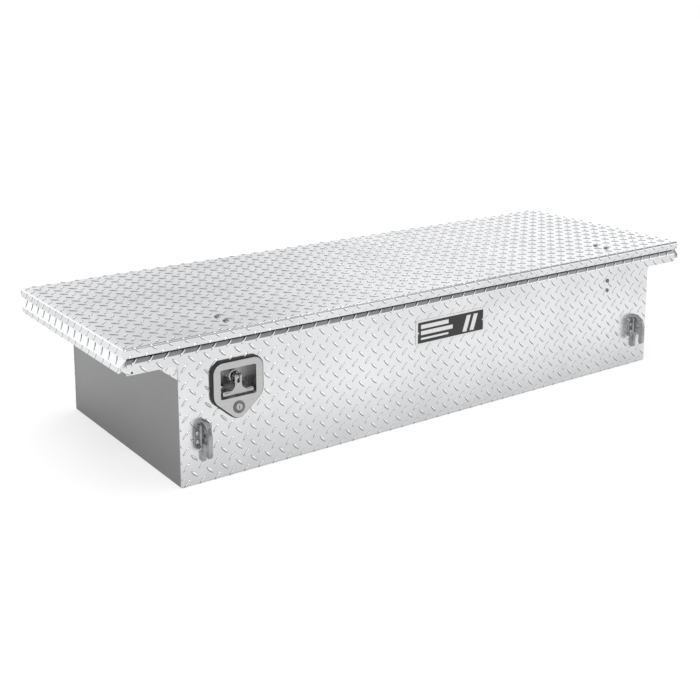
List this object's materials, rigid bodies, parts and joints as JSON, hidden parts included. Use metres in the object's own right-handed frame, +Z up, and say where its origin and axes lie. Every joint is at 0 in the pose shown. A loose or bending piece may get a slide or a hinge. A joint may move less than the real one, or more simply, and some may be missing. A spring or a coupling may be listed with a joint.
{
  "type": "crossover truck tool box",
  "caption": "Low-profile crossover truck tool box in aluminium tread plate, with a wing over each bed rail, a rear-hinged lid, gas struts, rotary latches and a recessed locking T-handle.",
  "frame": {"origin": "centre of the tub's flat underside", "axes": "+X along the box's length, with the T-handle at the -X end of the front; +Y from front to rear, where the lid is hinged; +Z up"},
  "size_m": [1.794, 0.6404, 0.3464],
  "materials": {
    "tread_plate": "bright diamond tread plate",
    "plain_sheet": "brushed plain sheet",
    "black_rubber": "matt moulded rubber",
    "stainless": "satin stainless steel",
    "chrome": "polished plate",
    "dark_steel": "dark satin",
    "zinc_steel": "zinc plate",
    "nylon": "moulded nylon",
    "cast_aluminium": "cast, tumbled",
    "black_plate": "satin black with a bright edge",
    "strut_black": "gloss black",
    "polished_rod": "ground and polished"
  },
  "bodies": {
    "tub": {"front_wall": "tread_plate", "left_wing_front": "tread_plate", "right_wing_front": "tread_plate", "rear_wall": "tread_plate", "left_wing_rear": "tread_plate", "right_wing_rear": "tread_plate", "floor_pan": "plain_sheet", "left_side_wall": "plain_sheet", "right_side_wall": "plain_sheet", "left_saddle_tray": "tread_plate", "right_saddle_tray": "tread_plate", "left_end_skirt": "tread_plate", "right_end_skirt": "tread_plate", "rim_seal": "black_rubber", "hinge_box_leaf": "stainless", "hinge_pin": "stainless", "box_hinge_rivets": "stainless", "handle_gasket": "black_rubber", "handle_dish": "stainless", "dish_studs": "stainless", "lock_housing": "dark_steel", "left_latch_case": "zinc_steel", "right_latch_case": "zinc_steel", "latch_bolts": "stainless", "rod_guides": "nylon", "left_strut_wall_stud": "zinc_steel", "right_strut_wall_stud": "zinc_steel", "left_cleat": "cast_aluminium", "right_cleat": "cast_aluminium", "cleat_bolts": "stainless", "name_plate": "black_plate", "plate_rivets": "stainless"},
    "lid": {"lid_skin": "tread_plate", "lid_long_lips": "tread_plate", "lid_end_lips": "tread_plate", "lid_stiffeners": "plain_sheet", "stiffener_webs": "plain_sheet", "hinge_lid_leaf": "stainless", "lid_hinge_rivets": "stainless", "left_striker": "zinc_steel", "right_striker": "zinc_steel", "striker_nuts": "stainless", "left_strut_lid_bracket": "zinc_steel", "right_strut_lid_bracket": "zinc_steel"},
    "left_strut": {"left_strut_cylinder": "strut_black"},
    "left_strut_ram": {"left_strut_rod": "polished_rod"},
    "right_strut": {"right_strut_cylinder": "strut_black"},
    "right_strut_ram": {"right_strut_rod": "polished_rod"},
    "left_claw": {"left_rotor": "zinc_steel"},
    "right_claw": {"right_rotor": "zinc_steel"},
    "left_lever": {"left_pawl": "zinc_steel"},
    "right_lever": {"right_pawl": "zinc_steel"},
    "handle_hub": {"handle_shaft": "chrome", "handle_arm": "zinc_steel"},
    "handle": {"t_handle": "chrome", "handle_pin": "chrome"},
    "link": {"connecting_rod": "zinc_steel"},
    "lock": {"lock_plug": "chrome", "lock_cam": "zinc_steel"}
  },
  "joints": [
    {"name": "lid_hinge", "type": "hinge", "parent": "tub", "child": "lid", "pos_m": [0, 0.3025, 0.3155], "axis": [-1, 0, 0], "range_deg": [0, 75]},
    {"name": "left_strut_pivot", "type": "hinge", "parent": "tub", "child": "left_strut", "pos_m": [-0.743, 0.2725, 0.2355], "axis": [-1, 0, 0], "range_deg": [0, 67.22]},
    {"name": "left_strut_slide", "type": "slide", "parent": "left_strut", "child": "left_strut_ram", "axis": [0, -0.9705, 0.241], "range_m": [0, 0.0931]},
    {"name": "right_strut_pivot", "type": "hinge", "parent": "tub", "child": "right_strut", "pos_m": [0.743, 0.2725, 0.2355], "axis": [-1, 0, 0], "range_deg": [0, 67.22]},
    {"name": "right_strut_slide", "type": "slide", "parent": "right_strut", "child": "right_strut_ram", "axis": [0, -0.9705, 0.241], "range_m": [0, 0.0931]},
    {"name": "left_claw_turn", "type": "hinge", "parent": "tub", "child": "left_claw", "pos_m": [-0.63, -0.218, 0.292], "axis": [0, -1, 0], "range_deg": [0, 55]},
    {"name": "left_lever_turn", "type": "hinge", "parent": "tub", "child": "left_lever", "pos_m": [-0.622, -0.218, 0.262], "axis": [0, -1, 0], "range_deg": [0, 15]},
    {"name": "right_claw_turn", "type": "hinge", "parent": "tub", "child": "right_claw", "pos_m": [0.625, -0.218, 0.292], "axis": [0, -1, 0], "range_deg": [0, 55]},
    {"name": "right_lever_turn", "type": "hinge", "parent": "tub", "child": "right_lever", "pos_m": [0.633, -0.218, 0.262], "axis": [0, -1, 0], "range_deg": [0, 15]},
    {"name": "handle_turn", "type": "hinge", "parent": "tub", "child": "handle_hub", "pos_m": [-0.619, -0.267, 0.23], "axis": [0, 1, 0], "range_deg": [0, 45]},
    {"name": "handle_fold", "type": "hinge", "parent": "handle_hub", "child": "handle", "pos_m": [-0.619, -0.3, 0.23], "axis": [-1, 0, 0], "range_deg": [0, 90]},
    {"name": "link_slide", "type": "slide", "parent": "tub", "child": "link", "axis": [1, 0, 0], "range_m": [0, 0.0198]},
    {"name": "lock_turn", "type": "hinge", "parent": "tub", "child": "lock", "pos_m": [-0.619, -0.28, 0.1615], "axis": [0, 1, 0], "range_deg": [0, 90]}
  ],
  "couplings": [
    {"joint": "left_strut_pivot", "follows": "lid_hinge", "ratio": 0.89553},
    {"joint": "left_strut_slide", "follows": "lid_hinge", "m_per_rad": 0.070993},
    {"joint": "left_claw_turn", "follows": "lid_hinge", "ratio": 0.7333},
    {"joint": "left_lever_turn", "follows": "handle_fold", "ratio": 0.16666},
    {"joint": "right_strut_pivot", "follows": "lid_hinge", "ratio": 0.89553},
    {"joint": "right_strut_slide", "follows": "lid_hinge", "m_per_rad": 0.070993},
    {"joint": "right_claw_turn", "follows": "lid_hinge", "ratio": 0.7333},
    {"joint": "right_lever_turn", "follows": "handle_fold", "ratio": 0.16666},
    {"joint": "handle_turn", "follows": "handle_fold", "ratio": 0.5},
    {"joint": "link_slide", "follows": "handle_fold", "m_per_rad": 0.012604}
  ]
}
